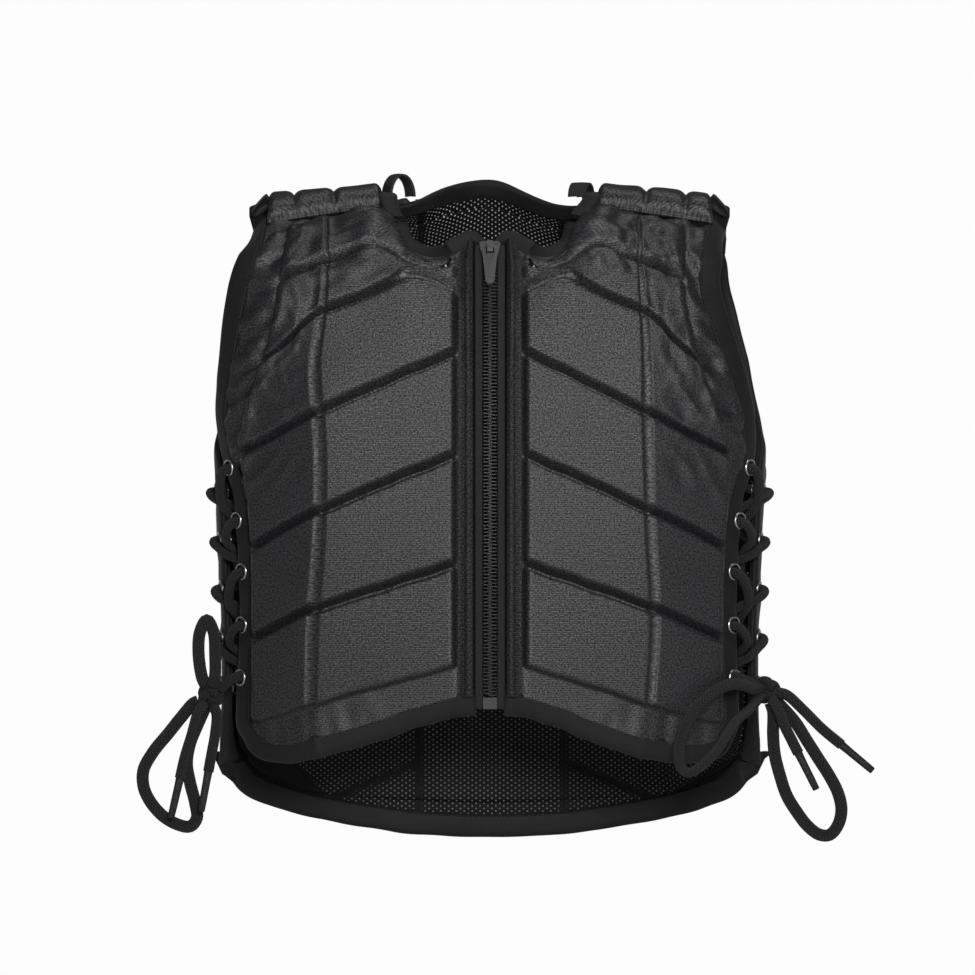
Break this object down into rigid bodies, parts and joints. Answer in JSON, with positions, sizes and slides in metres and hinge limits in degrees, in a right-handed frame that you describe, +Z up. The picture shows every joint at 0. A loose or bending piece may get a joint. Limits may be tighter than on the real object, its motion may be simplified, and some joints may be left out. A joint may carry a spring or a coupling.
{
  "type": "equestrian body protector",
  "caption": "Padded riding vest of quilted foam tiles, with a front zip, laced sides tied in bows, shoulder pads and a long rounded back",
  "frame": {"origin": "midway between the shoulders, on top of the wearer's shoulders, where the pads rest", "axes": "+Z is up towards the wearer's head, the front with the zip faces -Y, +X is to the right when looking at the front"},
  "size_m": [0.4424, 0.1856, 0.4009],
  "materials": {
    "tile_fabric": "matte fine rib woven polyester",
    "binding_fabric": "smooth stretch binding tape",
    "mesh_fabric": "perforated knitted mesh",
    "lace_cord": "round braided polyester cord",
    "zip_tape_fabric": "woven zip tape",
    "zip_teeth_plastic": "moulded black plastic teeth",
    "zip_metal": "semi-gloss black enamel on die-cast metal",
    "eyelet_metal": "polished nickel plating",
    "aglet_plastic": "shrunk plastic sleeve",
    "elastic_webbing": "flat woven elastic"
  },
  "bodies": {
    "vest": {"front_panel_left": "tile_fabric", "shoulder_pad_left": "tile_fabric", "front_panel_right": "tile_fabric", "shoulder_pad_right": "tile_fabric", "back_panel": "tile_fabric", "back_mesh_lining": "mesh_fabric", "neck_binding_front_left": "binding_fabric", "neck_binding_front_right": "binding_fabric", "neck_binding_back": "binding_fabric", "back_edge_binding": "binding_fabric", "front_edge_binding_left": "binding_fabric", "front_edge_binding_right": "binding_fabric", "eyelet_front_left_1": "eyelet_metal", "eyelet_front_left_2": "eyelet_metal", "eyelet_front_left_3": "eyelet_metal", "eyelet_front_left_4": "eyelet_metal", "eyelet_front_left_5": "eyelet_metal", "eyelet_front_right_1": "eyelet_metal", "eyelet_front_right_2": "eyelet_metal", "eyelet_front_right_3": "eyelet_metal", "eyelet_front_right_4": "eyelet_metal", "eyelet_front_right_5": "eyelet_metal", "eyelet_back_left_1": "eyelet_metal", "eyelet_back_left_2": "eyelet_metal", "eyelet_back_left_3": "eyelet_metal", "eyelet_back_left_4": "eyelet_metal", "eyelet_back_left_5": "eyelet_metal", "eyelet_back_right_1": "eyelet_metal", "eyelet_back_right_2": "eyelet_metal", "eyelet_back_right_3": "eyelet_metal", "eyelet_back_right_4": "eyelet_metal", "eyelet_back_right_5": "eyelet_metal", "zip_tape_left": "zip_tape_fabric", "zip_teeth_left": "zip_teeth_plastic", "zip_tape_right": "zip_tape_fabric", "zip_teeth_right": "zip_teeth_plastic", "zip_slider": "zip_metal", "zip_bottom_box": "zip_metal", "side_lace_left": "lace_cord", "side_lace_right": "lace_cord", "lace_knot_left": "lace_cord", "bow_loop_a_left": "lace_cord", "bow_loop_b_left": "lace_cord", "bow_tail_a_left": "lace_cord", "aglet_a_left": "aglet_plastic", "bow_tail_b_left": "lace_cord", "aglet_b_left": "aglet_plastic", "lace_knot_right": "lace_cord", "bow_loop_a_right": "lace_cord", "bow_loop_b_right": "lace_cord", "bow_tail_a_right": "lace_cord", "aglet_a_right": "aglet_plastic", "bow_tail_b_right": "lace_cord", "aglet_b_right": "aglet_plastic", "neck_loop_left": "elastic_webbing", "neck_loop_right": "elastic_webbing"},
    "zip_pull": {"zip_pull": "zip_metal"}
  },
  "joints": [
    {"name": "zip_pull_hinge", "type": "hinge", "parent": "vest", "child": "zip_pull", "pos_m": [0, -0.05937, -0.01934], "axis": [-1, 0, 0], "range_deg": [0, 150]}
  ]
}
